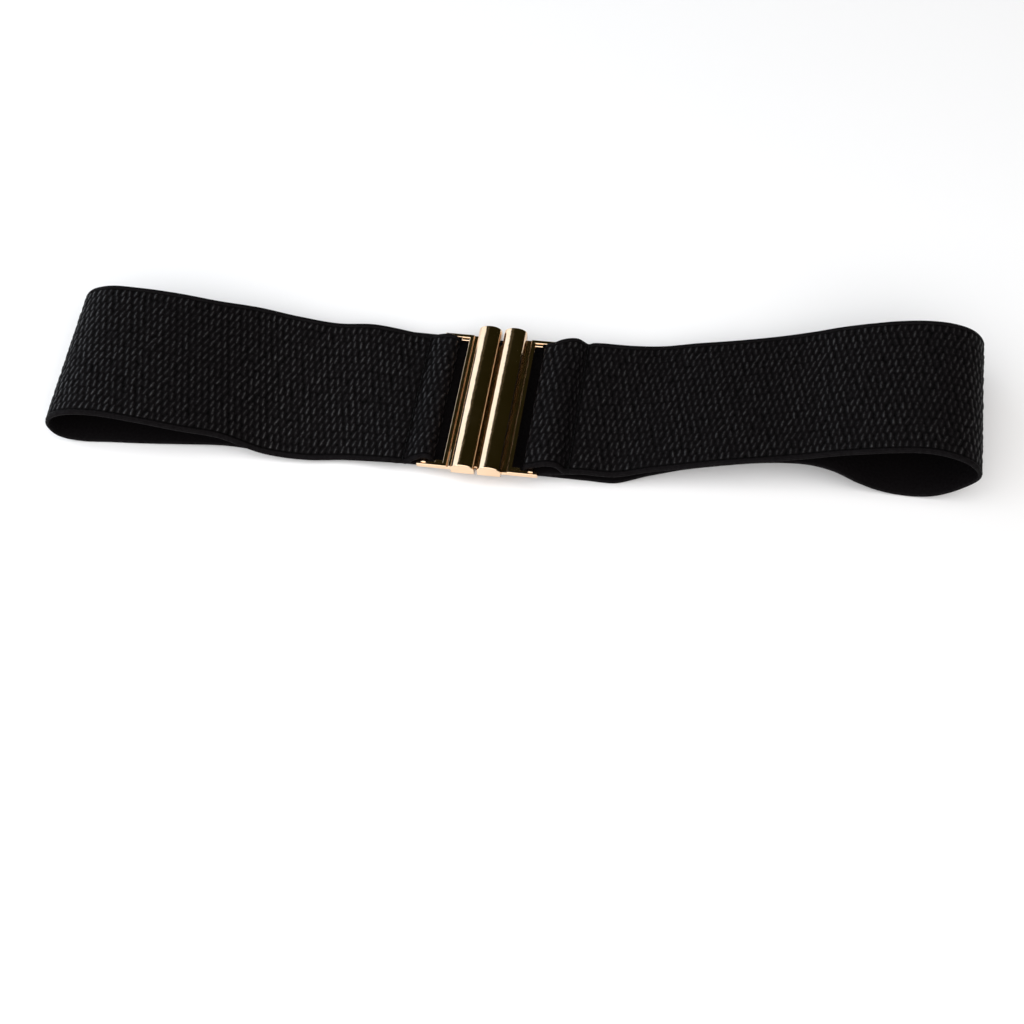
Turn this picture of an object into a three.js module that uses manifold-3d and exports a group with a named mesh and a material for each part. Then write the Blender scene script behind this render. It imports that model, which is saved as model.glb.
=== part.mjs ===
// Elastic stretch belt, fastened and lying folded flat on a table.
// One wide woven elastic band runs from one buckle half, round a fold at each end, to the other half.
// Millimetres. +X runs along the belt, +Y away from the viewer, +Z up, and Z 0 is the table.
import * as THREE from 'three';
import { mergeVertices } from 'three/addons/utils/BufferGeometryUtils.js';
import Module from 'manifold-3d';

const wasm = await Module();
wasm.setup();

// Band
const BAND_WIDTH = 60;
const BAND_THICKNESS = 1.8;
const GATHERED_WIDTH = 57.2;    // the band is squeezed a little where it goes through the frame
const LAYER_GAP = 0.3;          // between layers of band, and between band and metal
const LEFT_REACH = 161.05;      // buckle centre to the middle of the band at the left fold's tip
const RIGHT_REACH = 178.6;
const LEFT_SKEW = 1.45;         // how far the far edge reaches past the middle at the fold's tip
const RIGHT_SKEW = 0.4;
const LEFT_OPENING = 18.5;      // clear height inside the left fold
const RIGHT_OPENING = 27.5;
const LEFT_STITCH = 28;         // buckle centre to the sewn line that holds each turned-back end
const RIGHT_STITCH = 33;
const TAIL_PAST_STITCH = 5;
const STITCH_DIP = 0.35;        // how far the sewn line pulls the band down
const STITCH_PINCH = 1.4;       // how far it pulls the edges in, both together
const STITCH_SPAN = 1.4;        // sewn line to where the band is level again

// Buckle
const BUCKLE_TILT = THREE.MathUtils.degToRad(4);    // the right side stands a little higher
const BAR_LENGTH = 64.5;
const BAR_WIDTH = 8.8;
const BAR_HEIGHT = 4.4;         // above the plate's rim
const BAR_FLANK = 1.4;          // how much of that is straight-sided
const BAR_END_BEVEL = 0.3;
const HALF_GAP = 0.5;           // centre plane to the flank of each bar
const FRAME_THICKNESS = 2;
const RAIL_WIDTH = 1.6;
const PLATE_EDGE = 12.9;        // centre plane to the edge of the plate that faces the band
const CROSS_BAR_DIAMETER = 3;
const CROSS_BAR_OFFSET = 19.9;  // centre plane to the middle of the bar that the band goes round
const RAIL_REACH = 22.5;
const RIM_WIDTH = 1.7;          // raised rim of the plate, beside the band
const CHANNEL_DEPTH = 0.6;      // how far the plate lies below the rim
const LEDGE_WIDTH = 1.3;        // small step along each rail, between the rim and the band
const LEDGE_DEPTH = 0.3;        // how far that step lies below the rail
const LUG_LENGTH = 7.5;
const LUG_WIDTH = 1.6;
const LUG_HEIGHT = 0.3;         // above the rim
const TONGUE_WIDTH = 56;
const TONGUE_THICKNESS = 1.2;
const TONGUE_CLEARANCE = 0.3;
const LIP_OFFSET = 6.3;         // centre plane to the near side of the tongue's upturned lip
const LIP_THICKNESS = 1.5;
const LIP_HEIGHT = 1.5;

// How finely round shapes are cut
const BAND_STEP = 5;            // longest step along the band
const BAND_STEPS_ACROSS = 2;
const FLAT_SHARES = [0.12, 0.5, 0.88];
const SKEW_START = 0.7;         // share of the reach where the skew sets in
const WRAP_STEPS = 9;
const BAR_STEPS = 18;
const ROD_STEPS = 12;

// Each row is one section of the folded belt, from the buckle outwards.
// at: share of the reach. lift: height of the lower run off the table, share of the opening.
// room: extra room between the runs, share of the opening.
// sideTop, sideLow: sideways shift of the upper and lower run, share of the width.
// leanTop, leanLow: rise of the far edge above the band's middle, share of the width.
const LEFT_SECTIONS = [
    { at: 0.31, lift: 0, room: 0.135, sideTop: -0.018, sideLow: 0.032, leanTop: 0.038, leanLow: 0 },
    { at: 0.4, lift: 0, room: 0.15, sideTop: -0.055, sideLow: 0, leanTop: 0.043, leanLow: 0 },
    { at: 0.495, lift: 0.02, room: 0.245, sideTop: -0.07, sideLow: -0.015, leanTop: 0.048, leanLow: 0 },
    { at: 0.59, lift: 0.07, room: 0.445, sideTop: -0.072, sideLow: -0.025, leanTop: 0.014, leanLow: 0 },
    { at: 0.68, lift: 0.05, room: 0.7, sideTop: -0.11, sideLow: -0.05, leanTop: 0.004, leanLow: 0 },
    { at: 0.77, lift: 0.01, room: 0.92, sideTop: -0.13, sideLow: -0.075, leanTop: 0, leanLow: 0 },
    { at: 0.86, lift: 0, room: 1, sideTop: -0.138, sideLow: -0.1, leanTop: -0.006, leanLow: 0 },
    { at: 0.935, lift: 0.02, room: 0.93, sideTop: -0.145, sideLow: -0.125, leanTop: 0, leanLow: 0 },
    { at: 0.984, lift: 0.17, room: 0.54, sideTop: -0.146, sideLow: -0.138, leanTop: 0, leanLow: 0 },
];
const RIGHT_SECTIONS = [
    { at: 0.28, lift: 0, room: 0.165, sideTop: 0.08, sideLow: 0.1, leanTop: 0, leanLow: 0 },
    { at: 0.345, lift: 0.09, room: 0.115, sideTop: 0.115, sideLow: 0.145, leanTop: -0.028, leanLow: -0.018 },
    { at: 0.415, lift: 0.23, room: 0.065, sideTop: 0.146, sideLow: 0.175, leanTop: -0.034, leanLow: -0.034 },
    { at: 0.5, lift: 0.36, room: 0.045, sideTop: 0.178, sideLow: 0.205, leanTop: -0.043, leanLow: -0.043 },
    { at: 0.585, lift: 0.45, room: 0.042, sideTop: 0.217, sideLow: 0.24, leanTop: -0.039, leanLow: -0.039 },
    { at: 0.66, lift: 0.475, room: 0.12, sideTop: 0.25, sideLow: 0.262, leanTop: -0.03, leanLow: -0.03 },
    { at: 0.715, lift: 0.39, room: 0.35, sideTop: 0.258, sideLow: 0.27, leanTop: -0.024, leanLow: -0.024 },
    { at: 0.77, lift: 0.19, room: 0.67, sideTop: 0.264, sideLow: 0.278, leanTop: -0.019, leanLow: -0.015 },
    { at: 0.825, lift: 0.04, room: 0.91, sideTop: 0.274, sideLow: 0.29, leanTop: -0.016, leanLow: -0.006 },
    { at: 0.88, lift: 0, room: 1, sideTop: 0.282, sideLow: 0.298, leanTop: -0.014, leanLow: 0 },
    { at: 0.93, lift: 0.08, room: 0.905, sideTop: 0.282, sideLow: 0.298, leanTop: -0.006, leanLow: 0 },
    { at: 0.974, lift: 0.34, room: 0.53, sideTop: 0.282, sideLow: 0.295, leanTop: 0, leanLow: 0 },
];
const LEFT_TIP = { height: 0.50, drift: -0.142 };    // height is a share of the opening
const RIGHT_TIP = { height: 0.69, drift: 0.288 };

// How each end comes down from its cross bar to its sewn line.
// along: share of the way to the line. drop: share of the height lost by there.
const LEFT_SLOPE = [
    { along: 0.30, drop: 0.13 },
    { along: 0.62, drop: 0.52 },
];
const RIGHT_SLOPE = [
    { along: 0.32, drop: -0.38 },
    { along: 0.66, drop: -0.04 },
];
// Sideways shift there, as a share of the shift at the innermost section of that side
const SEWN_SHIFT = { slope: 0.8, before: 0.6, sewn: 0.62, after: 0.65, tail: 0.75 };

// Materials
const elastic = new THREE.MeshStandardMaterial({ color: 0x15151a, roughness: 0.85, metalness: 0 });
const leftGold = new THREE.MeshStandardMaterial({ color: 0xd9b27a, roughness: 0.16, metalness: 1 });
const rightGold = leftGold.clone();

// Solid of a closed geometry, and the mesh of a solid
function solidOf(geometry) {
    const bare = geometry.clone();
    bare.deleteAttribute('normal');
    bare.deleteAttribute('uv');
    const merged = mergeVertices(bare);
    return new wasm.Manifold(new wasm.Mesh({
        numProp: 3,
        vertProperties: Float32Array.from(merged.attributes.position.array),
        triVerts: Uint32Array.from(merged.index.array),
    }));
}

function meshOf(solid, name, material) {
    const data = solid.getMesh();
    const geometry = new THREE.BufferGeometry();
    geometry.setAttribute('position', new THREE.BufferAttribute(Float32Array.from(data.vertProperties), 3));
    geometry.setIndex(new THREE.BufferAttribute(Uint32Array.from(data.triVerts), 1));
    geometry.computeVertexNormals();
    const mesh = new THREE.Mesh(geometry, material);
    mesh.name = name;
    return mesh;
}

// Heights in the stack of layers: the lower run, a turned-back end, the upper run
const lowerMiddle = BAND_THICKNESS / 2;
const layerPitch = BAND_THICKNESS + LAYER_GAP;
const wrapRadius = CROSS_BAR_DIAMETER / 2 + LAYER_GAP + BAND_THICKNESS / 2;
const tiltedOffset = CROSS_BAR_OFFSET * Math.cos(BUCKLE_TILT);
const leftTailHeight = lowerMiddle + layerPitch;
const buckleHeight = leftTailHeight + wrapRadius + CROSS_BAR_OFFSET * Math.sin(BUCKLE_TILT);

// One end of the band: where its cross bar and its layers lie. side is -1 on the left, 1 on the right
function endOf(side, stitch) {
    const barHeight = buckleHeight + side * CROSS_BAR_OFFSET * Math.sin(BUCKLE_TILT);
    const tailHeight = barHeight - wrapRadius;
    return {
        side,
        barX: side * tiltedOffset,
        barHeight,
        tailHeight,
        sewnHeight: tailHeight + layerPitch,
        stitchX: side * stitch,
        tailX: side * (stitch + TAIL_PAST_STITCH),
    };
}
const leftEnd = endOf(-1, LEFT_STITCH);
const rightEnd = endOf(1, RIGHT_STITCH);

// A point on the band's middle line, with its sideways shift, lean, width and skew
function station(x, height, drift, lean, width, skew = 0) {
    return { x, height, drift, lean, width, skew };
}

// The turned-back end and the half turn round the cross bar, from the tail's end to the top of the bar.
// The turned-back end drifts sideways with the upper run, which it is sewn to
function wrapStations(end, firstDrift) {
    const stations = [];
    for (const x of [end.tailX, end.stitchX, (end.stitchX + end.barX) / 2]) {
        const share = (x - end.barX) / (end.tailX - end.barX);
        stations.push(station(x, end.tailHeight, firstDrift * SEWN_SHIFT.tail * share, 0, GATHERED_WIDTH));
    }
    for (let i = 0; i <= WRAP_STEPS; i++) {
        const turn = Math.PI * i / WRAP_STEPS;
        const x = end.barX - end.side * wrapRadius * Math.sin(turn);
        const height = end.barHeight - wrapRadius * Math.cos(turn);
        stations.push(station(x, height, 0, 0, GATHERED_WIDTH));
    }
    return stations;
}

// The upper run from the cross bar down to the sewn line and past the turned-back end
function sewnControls(end, slope, firstDrift) {
    const top = end.barHeight + wrapRadius;
    const drop = top - end.sewnHeight;
    const rideHeight = end.sewnHeight + STITCH_DIP;
    const beside = end.side * STITCH_SPAN;
    const down = slope.map(({ along, drop: share }) => {
        const x = end.barX + (end.stitchX - end.barX) * along;
        const width = GATHERED_WIDTH + (BAND_WIDTH - GATHERED_WIDTH) * along;
        return station(x, top - drop * share, firstDrift * SEWN_SHIFT.slope * along, 0, width);
    });
    return [
        ...down,
        station(end.stitchX - beside, rideHeight, firstDrift * SEWN_SHIFT.before, 0, BAND_WIDTH),
        station(end.stitchX, end.sewnHeight, firstDrift * SEWN_SHIFT.sewn, 0, BAND_WIDTH - STITCH_PINCH),
        station(end.stitchX + beside, rideHeight, firstDrift * SEWN_SHIFT.after, 0, BAND_WIDTH),
        station(end.tailX, rideHeight, firstDrift * SEWN_SHIFT.tail, 0, BAND_WIDTH),
    ];
}

// Controls of one folded side: out along the upper run, round the tip, back along the lower run
function foldControls(side, reach, opening, fullSkew, sections, tip) {
    const upper = [];
    const lower = [];
    const width = BAND_WIDTH;
    for (const row of sections) {
        const x = side * row.at * reach;
        const skew = side * fullSkew * Math.max(0, (row.at - SKEW_START) / (1 - SKEW_START)) ** 2;
        const low = lowerMiddle + row.lift * opening;
        const high = low + layerPitch + row.room * opening;
        upper.push(station(x, high, row.sideTop * width, row.leanTop * width, width, skew));
        lower.unshift(station(x, low, row.sideLow * width, row.leanLow * width, width, skew));
    }
    const tipHeight = lowerMiddle + tip.height * opening;
    const tipStation = station(side * reach, tipHeight, tip.drift * width, 0, width, side * fullSkew);
    return [...upper, tipStation, ...lower];
}

// The lower run lies flat under the buckle, between the innermost sections of the two sides
function flatControls(left, right) {
    return FLAT_SHARES.map((share) => {
        const x = left.x + (right.x - left.x) * share;
        const drift = left.drift + (right.drift - left.drift) * share;
        return station(x, lowerMiddle, drift, 0, BAND_WIDTH);
    });
}

// The whole route of the band, from one turned-back end to the other
function bandStations() {
    const left = foldControls(-1, LEFT_REACH, LEFT_OPENING, LEFT_SKEW, LEFT_SECTIONS, LEFT_TIP);
    const right = foldControls(1, RIGHT_REACH, RIGHT_OPENING, RIGHT_SKEW, RIGHT_SECTIONS, RIGHT_TIP);
    const leftWrap = wrapStations(leftEnd, left[0].drift);
    const rightWrap = wrapStations(rightEnd, right[0].drift).reverse();
    const controls = [
        leftWrap[leftWrap.length - 1],
        ...sewnControls(leftEnd, LEFT_SLOPE, left[0].drift),
        ...left,
        ...flatControls(left[left.length - 1], right[right.length - 1]),
        ...right.reverse(),
        ...sewnControls(rightEnd, RIGHT_SLOPE, right[right.length - 1].drift).reverse(),
        rightWrap[0],
    ];
    const curve = (type, pick) => {
        const points = controls.map((c) => new THREE.Vector3(...pick(c)));
        return new THREE.CatmullRomCurve3(points, false, type);
    };
    const line = curve('centripetal', (c) => [c.x, 0, c.height]);
    const sides = curve('catmullrom', (c) => [c.drift, c.lean, c.width]);
    const skews = curve('catmullrom', (c) => [c.skew, 0, 0]);
    const spans = controls.length - 1;
    const run = [];
    for (let span = 0; span < spans; span++) {
        const chord = line.points[span].distanceTo(line.points[span + 1]);
        const steps = Math.ceil(chord / BAND_STEP);
        for (let step = span ? 0 : 1; step < steps; step++) {
            const t = (span + step / steps) / spans;
            const point = line.getPoint(t);
            const side = sides.getPoint(t);
            const height = Math.max(point.z, lowerMiddle + Math.abs(side.y));    // the table carries it
            run.push(station(point.x, height, side.x, side.y, side.z, skews.getPoint(t).x));
        }
    }
    return [...leftWrap, ...run, ...rightWrap];
}

// A strip of thick band that follows the stations
function bandGeometry() {
    const stations = bandStations();
    const last = stations.length - 1;
    const geometry = new THREE.BoxGeometry(1, 1, 1, last, BAND_STEPS_ACROSS, 1);
    const position = geometry.attributes.position;
    for (let i = 0; i < position.count; i++) {
        const index = Math.round((position.getX(i) + 0.5) * last);
        const across = position.getY(i);
        const side = position.getZ(i);
        const here = stations[index];
        const before = stations[Math.max(index - 1, 0)];
        const after = stations[Math.min(index + 1, last)];
        const along = new THREE.Vector2(after.x - before.x, after.height - before.height).normalize();
        const offset = side * BAND_THICKNESS;
        position.setXYZ(
            i,
            here.x - along.y * offset + 2 * across * here.skew,
            here.drift + across * here.width,
            here.height + along.x * offset + 2 * across * here.lean,
        );
    }
    return geometry;
}

// Box from its lowest to its highest corner
function block(x0, x1, y0, y1, z0, z1) {
    const geometry = new THREE.BoxGeometry(x1 - x0, y1 - y0, z1 - z0);
    geometry.translate((x0 + x1) / 2, (y0 + y1) / 2, (z0 + z1) / 2);
    return solidOf(geometry);
}

// Rod of round section along Y
function rod(x, z, diameter, length) {
    const geometry = new THREE.CylinderGeometry(diameter / 2, diameter / 2, length, ROD_STEPS);
    geometry.translate(x, 0, z);
    return solidOf(geometry);
}

// Round-topped bar along Y on straight flanks, from z0 up to the crown, with its sharp end edges broken
function roundedBar(x0, x1, z0, spring, crown) {
    const shape = new THREE.Shape();
    const radius = (x1 - x0) / 2 - BAR_END_BEVEL;
    const height = crown - spring - BAR_END_BEVEL;
    const foot = z0 + BAR_END_BEVEL - spring;
    shape.moveTo(-radius, foot);
    shape.lineTo(radius, foot);
    shape.absellipse(0, 0, radius, height, 0, Math.PI, false);
    const geometry = new THREE.ExtrudeGeometry(shape, {
        depth: BAR_LENGTH - 2 * BAR_END_BEVEL,
        steps: 1,
        curveSegments: BAR_STEPS,
        bevelEnabled: true,
        bevelThickness: BAR_END_BEVEL,
        bevelSize: BAR_END_BEVEL,
        bevelSegments: 1,
    });
    geometry.rotateX(Math.PI / 2);
    geometry.translate((x0 + x1) / 2, BAR_LENGTH / 2 - BAR_END_BEVEL, spring);
    return solidOf(geometry);
}

// One half of the buckle, cast in one piece, drawn on the +X side of the centre plane
const halfThick = FRAME_THICKNESS / 2;
const openingHalf = GATHERED_WIDTH / 2 + LAYER_GAP;
const frameHalf = openingHalf + RAIL_WIDTH;
function buckleHalf() {
    const barSide = HALF_GAP + BAR_WIDTH;
    const rimStart = PLATE_EDGE - RIM_WIDTH;
    const plateTop = halfThick - CHANNEL_DEPTH;
    const ledgeSide = openingHalf - LEDGE_WIDTH;
    const ledgeTop = halfThick - LEDGE_DEPTH;
    const ledgeEnd = CROSS_BAR_OFFSET - wrapRadius - BAND_THICKNESS / 2 - LAYER_GAP;
    let half = roundedBar(HALF_GAP, barSide, 0, halfThick + BAR_FLANK, halfThick + BAR_HEIGHT);
    half = half.add(block(HALF_GAP, PLATE_EDGE, -frameHalf, frameHalf, -halfThick, plateTop));
    half = half.add(block(rimStart, PLATE_EDGE, -frameHalf, frameHalf, -halfThick, halfThick));
    half = half.add(block(rimStart, RAIL_REACH, openingHalf, frameHalf, -halfThick, halfThick));
    half = half.add(block(rimStart, RAIL_REACH, -frameHalf, -openingHalf, -halfThick, halfThick));
    half = half.add(block(rimStart, ledgeEnd, ledgeSide, frameHalf, -halfThick, ledgeTop));
    half = half.add(block(rimStart, ledgeEnd, -frameHalf, -ledgeSide, -halfThick, ledgeTop));
    half = half.add(rod(CROSS_BAR_OFFSET, 0, CROSS_BAR_DIAMETER, 2 * openingHalf + RAIL_WIDTH));
    return half;
}

// The left half has the lug by its bar and the hidden tongue that hooks under the right half
function leftHalf() {
    const barSide = HALF_GAP + BAR_WIDTH;
    const tongueTop = -halfThick - TONGUE_CLEARANCE;
    const tongueLow = tongueTop - TONGUE_THICKNESS;
    const y = TONGUE_WIDTH / 2;
    let half = buckleHalf().mirror([1, 0, 0]);
    const lugX = -(barSide - BAR_END_BEVEL);
    const lugEnd = LUG_LENGTH - frameHalf;
    half = half.add(block(lugX - LUG_WIDTH, lugX, -frameHalf, lugEnd, 0, halfThick + LUG_HEIGHT));
    half = half.add(block(-barSide, -HALF_GAP, -y, y, tongueLow, 0));
    half = half.add(block(-barSide, LIP_OFFSET + LIP_THICKNESS, -y, y, tongueLow, tongueTop));
    half = half.add(block(LIP_OFFSET, LIP_OFFSET + LIP_THICKNESS, -y, y, tongueLow, tongueTop + LIP_HEIGHT));
    return half;
}

// The right half has the groove that the tongue's lip hooks into
function rightHalf() {
    const x0 = LIP_OFFSET - TONGUE_CLEARANCE;
    const x1 = LIP_OFFSET + LIP_THICKNESS + TONGUE_CLEARANCE;
    const y = TONGUE_WIDTH / 2 + TONGUE_CLEARANCE;
    const top = -halfThick + LIP_HEIGHT;
    return buckleHalf().subtract(block(x0, x1, -y, y, -FRAME_THICKNESS, top));
}

// Assembly
const belt = new THREE.Group();
belt.add(meshOf(solidOf(bandGeometry()), 'elastic_band', elastic));
const buckle = new THREE.Group();
buckle.position.z = buckleHeight;
buckle.rotation.y = -BUCKLE_TILT;
buckle.add(meshOf(leftHalf(), 'buckle_left_half', leftGold));
buckle.add(meshOf(rightHalf(), 'buckle_right_half', rightGold));
belt.add(buckle);

// The origin is the middle of the footprint, on the table
const footprint = new THREE.Box3().setFromObject(belt);
const middle = footprint.getCenter(new THREE.Vector3());
belt.position.set(-middle.x, -middle.y, -footprint.min.z);

export default belt;
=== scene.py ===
# %% [markdown]
# # An elastic stretch belt, folded flat
# The belt is a wide woven elastic band with an interlocking gold buckle. It lies fastened, so that the
# band makes one flattened loop. Every size is in millimetres until the mesh is made, and +X runs along
# the belt, +Y away from the viewer and +Z up.

import math

import bmesh
import bpy
import numpy as np
from mathutils import Matrix, Vector


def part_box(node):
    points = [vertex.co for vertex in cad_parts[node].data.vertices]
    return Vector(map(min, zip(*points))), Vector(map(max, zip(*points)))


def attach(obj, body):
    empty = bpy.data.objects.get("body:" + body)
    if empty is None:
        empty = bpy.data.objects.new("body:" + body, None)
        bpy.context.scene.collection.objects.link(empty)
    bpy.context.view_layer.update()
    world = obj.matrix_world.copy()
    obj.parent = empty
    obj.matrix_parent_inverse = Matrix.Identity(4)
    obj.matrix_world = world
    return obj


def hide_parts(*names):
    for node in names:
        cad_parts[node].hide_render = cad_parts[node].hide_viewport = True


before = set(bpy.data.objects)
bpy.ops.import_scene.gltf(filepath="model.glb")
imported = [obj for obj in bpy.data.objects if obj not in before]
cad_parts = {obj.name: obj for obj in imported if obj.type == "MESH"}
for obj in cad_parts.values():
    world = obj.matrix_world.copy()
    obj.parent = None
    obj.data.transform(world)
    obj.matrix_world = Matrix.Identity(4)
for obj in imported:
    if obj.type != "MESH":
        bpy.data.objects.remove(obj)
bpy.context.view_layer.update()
MM = 0.001
rng = np.random.default_rng(7)

# %% [markdown]
# ## Sizes
# These are the sizes of the CAD model. The surface could be fitted to the CAD solids instead, but they
# are plain and faceted. The sizes are repeated here, so that the band and the castings can be drawn
# smoothly along the same route and at the same places.

# %% Sizes of the band
BAND_WIDTH = 60
BAND_THICKNESS = 1.8
GATHERED_WIDTH = 57.2
LAYER_GAP = 0.3
LEFT_REACH = 161.05
RIGHT_REACH = 178.6
LEFT_SKEW = 1.45
RIGHT_SKEW = 0.4
LEFT_OPENING = 18.5
RIGHT_OPENING = 27.5
LEFT_STITCH = 28
RIGHT_STITCH = 33
TAIL_PAST_STITCH = 5
STITCH_DIP = 0.35
STITCH_PINCH = 1.4
STITCH_SPAN = 1.4
SKEW_START = 0.7
FLAT_SHARES = (0.12, 0.5, 0.88)

# %% Sizes of the buckle
BUCKLE_TILT = math.radians(4)
BAR_LENGTH = 64.5
BAR_WIDTH = 8.8
BAR_HEIGHT = 4.4
BAR_FLANK = 1.4
HALF_GAP = 0.5
FRAME_THICKNESS = 2
RAIL_WIDTH = 1.6
PLATE_EDGE = 12.9
CROSS_BAR_DIAMETER = 3
CROSS_BAR_OFFSET = 19.9
RAIL_REACH = 22.5
RIM_WIDTH = 1.7
CHANNEL_DEPTH = 0.6
LEDGE_WIDTH = 1.3
LEDGE_DEPTH = 0.3
LUG_LENGTH = 7.5
LUG_WIDTH = 1.6
LUG_HEIGHT = 0.3
TONGUE_WIDTH = 56
TONGUE_THICKNESS = 1.2
TONGUE_CLEARANCE = 0.3
LIP_OFFSET = 6.3
LIP_THICKNESS = 1.5
LIP_HEIGHT = 1.5
OPENING_HALF = GATHERED_WIDTH / 2 + LAYER_GAP
FRAME_HALF = OPENING_HALF + RAIL_WIDTH

# %% Sections of the folded band
# Each row is one section, from the buckle outwards: at as a share of the reach, lift and room as shares
# of the opening, and side_top, side_low, lean_top and lean_low as shares of the width.
LEFT_SECTIONS = (
    (0.31, 0, 0.135, -0.018, 0.032, 0.038, 0),
    (0.4, 0, 0.15, -0.055, 0, 0.043, 0),
    (0.495, 0.02, 0.245, -0.07, -0.015, 0.048, 0),
    (0.59, 0.07, 0.445, -0.072, -0.025, 0.014, 0),
    (0.68, 0.05, 0.7, -0.11, -0.05, 0.004, 0),
    (0.77, 0.01, 0.92, -0.13, -0.075, 0, 0),
    (0.86, 0, 1, -0.138, -0.1, -0.006, 0),
    (0.935, 0.02, 0.93, -0.145, -0.125, 0, 0),
    (0.984, 0.17, 0.54, -0.146, -0.138, 0, 0),
)
RIGHT_SECTIONS = (
    (0.28, 0, 0.165, 0.08, 0.1, 0, 0),
    (0.345, 0.09, 0.115, 0.115, 0.145, -0.028, -0.018),
    (0.415, 0.23, 0.065, 0.146, 0.175, -0.034, -0.034),
    (0.5, 0.36, 0.045, 0.178, 0.205, -0.043, -0.043),
    (0.585, 0.45, 0.042, 0.217, 0.24, -0.039, -0.039),
    (0.66, 0.475, 0.12, 0.25, 0.262, -0.03, -0.03),
    (0.715, 0.39, 0.35, 0.258, 0.27, -0.024, -0.024),
    (0.77, 0.19, 0.67, 0.264, 0.278, -0.019, -0.015),
    (0.825, 0.04, 0.91, 0.274, 0.29, -0.016, -0.006),
    (0.88, 0, 1, 0.282, 0.298, -0.014, 0),
    (0.93, 0.08, 0.905, 0.282, 0.298, -0.006, 0),
    (0.974, 0.34, 0.53, 0.282, 0.295, 0, 0),
)
# Height at the fold's tip as a share of the opening, and sideways shift as a share of the width
LEFT_TIP = (0.50, -0.142)
RIGHT_TIP = (0.69, 0.288)
# Share of the way from the cross bar to the sewn line, and share of the height lost by there
LEFT_SLOPE = ((0.30, 0.13), (0.62, 0.52))
RIGHT_SLOPE = ((0.32, -0.38), (0.66, -0.04))
# Sideways shift near the sewn line, as a share of the shift at the innermost section
SEWN_SHIFT = {"slope": 0.8, "before": 0.6, "sewn": 0.62, "after": 0.65, "tail": 0.75}

# %% [markdown]
# ## The camera
# It looks down at the belt from the near side, as the photograph does. It could be placed by eye, but its
# angles, distance and lens were reckoned from the outline of the flat band and the square buckle, because
# then the same outline also gives the sizes.

# %% Camera
SENSOR_WIDTH = 36
LENS = 50.98
CAMERA_PLACE = (49.65, -311.1, 455.8)
DEGREES_DOWN = 59.5
DEGREES_TURNED = 9.2
NEAREST = 0.01
camera = bpy.data.objects.new("camera", bpy.data.cameras.new("camera"))
bpy.context.collection.objects.link(camera)
bpy.context.scene.camera = camera
camera.data.sensor_width = SENSOR_WIDTH
camera.data.lens = LENS
camera.data.clip_start = NEAREST
camera.location = Vector(CAMERA_PLACE) * MM
camera.rotation_euler = (math.radians(90 - DEGREES_DOWN), 0, math.radians(DEGREES_TURNED))
print("camera at", [round(x, 4) for x in camera.location])

# %% [markdown]
# ## The route of the band
# The middle line starts at the turned-back end on the left, goes round the left cross bar and over the
# top to the left fold, back along the table, round the right fold and over to the turned-back end on the
# right. Cloth simulation could fold a strip, but it wouldn't fall just as the belt in the photograph
# lies. So the route goes smoothly through chosen sections. Each row holds x, height, sideways drift,
# lean, width and skew.

# %% Heights in the stack of layers
lower_middle = BAND_THICKNESS / 2
layer_pitch = BAND_THICKNESS + LAYER_GAP
wrap_radius = CROSS_BAR_DIAMETER / 2 + LAYER_GAP + BAND_THICKNESS / 2
bar_rise = CROSS_BAR_OFFSET * math.sin(BUCKLE_TILT)
buckle_height = lower_middle + layer_pitch + wrap_radius + bar_rise


def end_of(side, stitch):
    """Where one end of the band has its cross bar, sewn line and cut edge."""
    bar_height = buckle_height + side * bar_rise
    tail_height = bar_height - wrap_radius
    return {
        "side": side,
        "bar_x": side * CROSS_BAR_OFFSET * math.cos(BUCKLE_TILT),
        "bar_height": bar_height,
        "tail_height": tail_height,
        "sewn_height": tail_height + layer_pitch,
        "stitch_x": side * stitch,
        "tail_x": side * (stitch + TAIL_PAST_STITCH),
    }


def wrap_rows(end, first_drift, steps=60):
    """The turned-back end and the half turn round the cross bar."""
    rows = []
    for x in np.linspace(end["tail_x"], end["bar_x"], steps, endpoint=False):
        share = (x - end["bar_x"]) / (end["tail_x"] - end["bar_x"])
        drift = first_drift * SEWN_SHIFT["tail"] * share
        rows.append((x, end["tail_height"], drift, 0, GATHERED_WIDTH, 0))
    for turn in np.linspace(0, math.pi, steps):
        x = end["bar_x"] - end["side"] * wrap_radius * math.sin(turn)
        height = end["bar_height"] - wrap_radius * math.cos(turn)
        rows.append((x, height, 0, 0, GATHERED_WIDTH, 0))
    return rows


def sewn_rows(end, slope, first_drift):
    """The upper run from the cross bar down to the sewn line."""
    top = end["bar_height"] + wrap_radius
    drop = top - end["sewn_height"]
    ride = end["sewn_height"] + STITCH_DIP
    beside = end["side"] * STITCH_SPAN
    rows = []
    for along, share in slope:
        x = end["bar_x"] + (end["stitch_x"] - end["bar_x"]) * along
        width = GATHERED_WIDTH + (BAND_WIDTH - GATHERED_WIDTH) * along
        rows.append((x, top - drop * share, first_drift * SEWN_SHIFT["slope"] * along, 0, width, 0))
    drift = {place: first_drift * share for place, share in SEWN_SHIFT.items()}
    pinched = BAND_WIDTH - STITCH_PINCH
    rows += [
        (end["stitch_x"] - beside, ride, drift["before"], 0, BAND_WIDTH, 0),
        (end["stitch_x"], end["sewn_height"], drift["sewn"], 0, pinched, 0),
        (end["stitch_x"] + beside, ride, drift["after"], 0, BAND_WIDTH, 0),
        (end["tail_x"], ride, drift["tail"], 0, BAND_WIDTH, 0),
    ]
    return rows


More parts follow.
